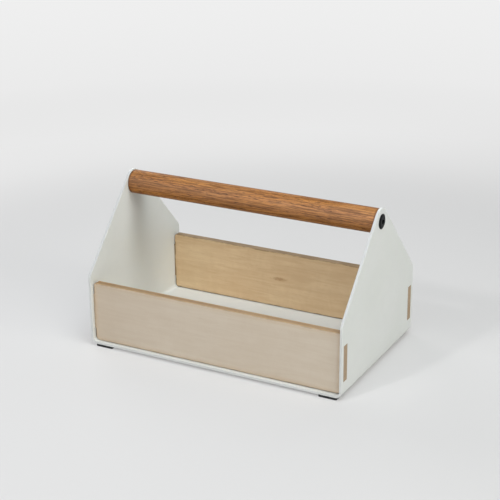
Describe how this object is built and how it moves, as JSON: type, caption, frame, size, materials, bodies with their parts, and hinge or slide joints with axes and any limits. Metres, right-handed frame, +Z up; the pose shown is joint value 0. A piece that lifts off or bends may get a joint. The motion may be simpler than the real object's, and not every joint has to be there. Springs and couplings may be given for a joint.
{
  "type": "open tool tote",
  "caption": "Open carrying tote: white folded sheet body with house-shaped gables, birch plywood front and back panels let into slots, and a round wooden handle bolted between the gable tops.",
  "frame": {"origin": "centre of the footprint, on the surface that the four feet stand on", "axes": "+X along the handle, towards the right gable; +Y from the front panel towards the back panel; +Z up"},
  "size_m": [0.323, 0.2, 0.188],
  "materials": {
    "white_powder_coat": "fine matt powder coat",
    "birch_plywood": "sanded, with brown laser-cut edges",
    "handle_wood": "oiled open-grained hardwood",
    "black_steel": "black satin",
    "sleeve_brass": "turned",
    "black_rubber": "matt"
  },
  "bodies": {
    "root": {"folded_body": "white_powder_coat", "front_panel": "birch_plywood", "back_panel": "birch_plywood", "handle_dowel": "handle_wood", "dowel_insert_left": "sleeve_brass", "dowel_insert_right": "sleeve_brass", "handle_bolt_left": "black_steel", "handle_bolt_right": "black_steel", "foot_front_left": "black_rubber", "foot_front_right": "black_rubber", "foot_back_left": "black_rubber", "foot_back_right": "black_rubber"}
  },
  "joints": []
}
